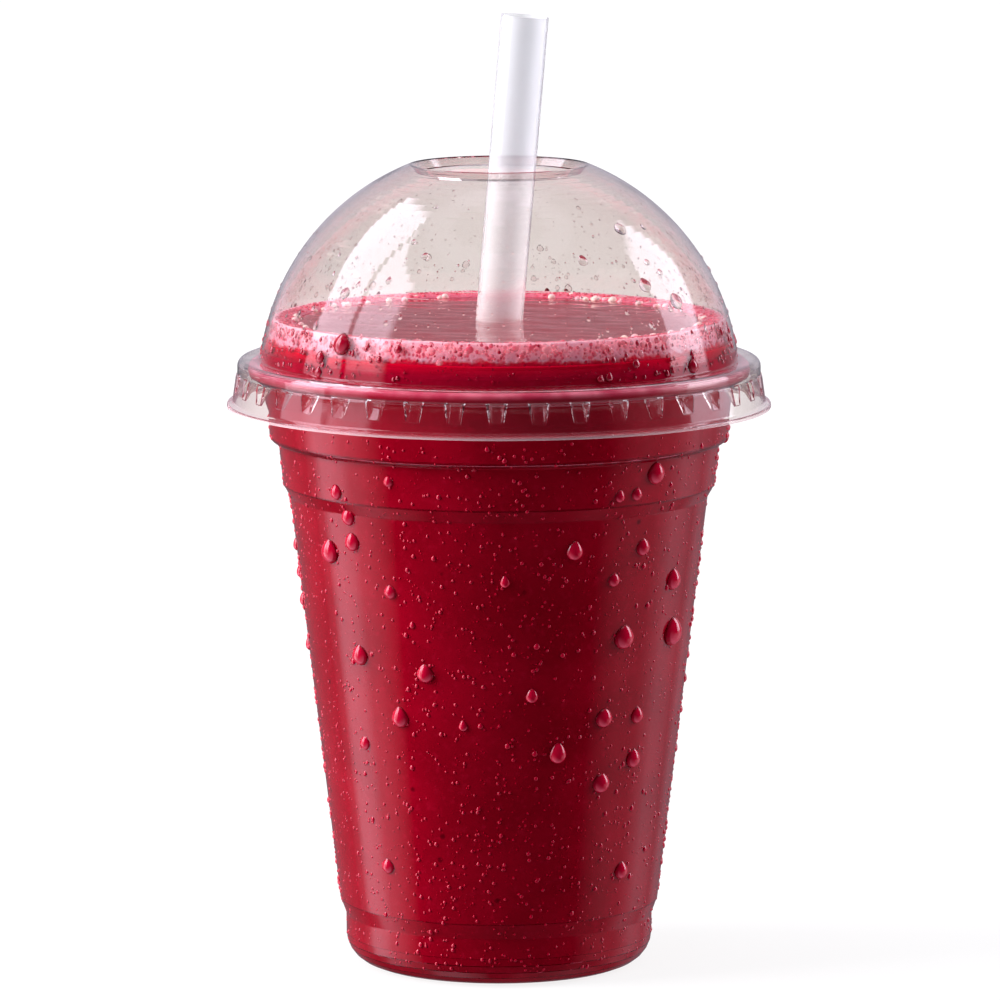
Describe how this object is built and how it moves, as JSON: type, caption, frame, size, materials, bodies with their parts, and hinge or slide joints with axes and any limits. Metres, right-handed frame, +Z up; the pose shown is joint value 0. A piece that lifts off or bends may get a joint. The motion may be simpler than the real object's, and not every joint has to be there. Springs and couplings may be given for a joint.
{
  "type": "cold-drink cup with dome lid",
  "caption": "Clear cold-drink cup with a rolled rim, full of thick red fruit drink, under a lift-off dome lid that is open at the top, with a wide leaning straw.",
  "frame": {"origin": "on the cup's axis, at the surface that the cup stands on", "axes": "+Z up along the cup's axis; -Y is the side that the picture shows; +X is the side that the straw leans to"},
  "size_m": [0.1034, 0.1034, 0.1815],
  "materials": {
    "cup_sheet": "clear thermoformed sheet, glossy, wet with condensation",
    "fruit_drink": "thick opaque red fruit drink with fine dark specks, wet and glossy on top",
    "fruit_foam": "fine pink bubbles",
    "straw_plastic": "milky translucent, softly glossy",
    "lid_sheet": "clear thermoformed sheet, glossy, with condensation"
  },
  "bodies": {
    "cup_body": {"cup": "cup_sheet", "drink": "fruit_drink", "foam": "fruit_foam", "straw": "straw_plastic"},
    "lid_body": {"lid": "lid_sheet"}
  },
  "joints": [
    {"name": "lid_lift", "type": "slide", "parent": "cup_body", "child": "lid_body", "axis": [0, 0, 1], "range_m": [0, 0.08]}
  ]
}
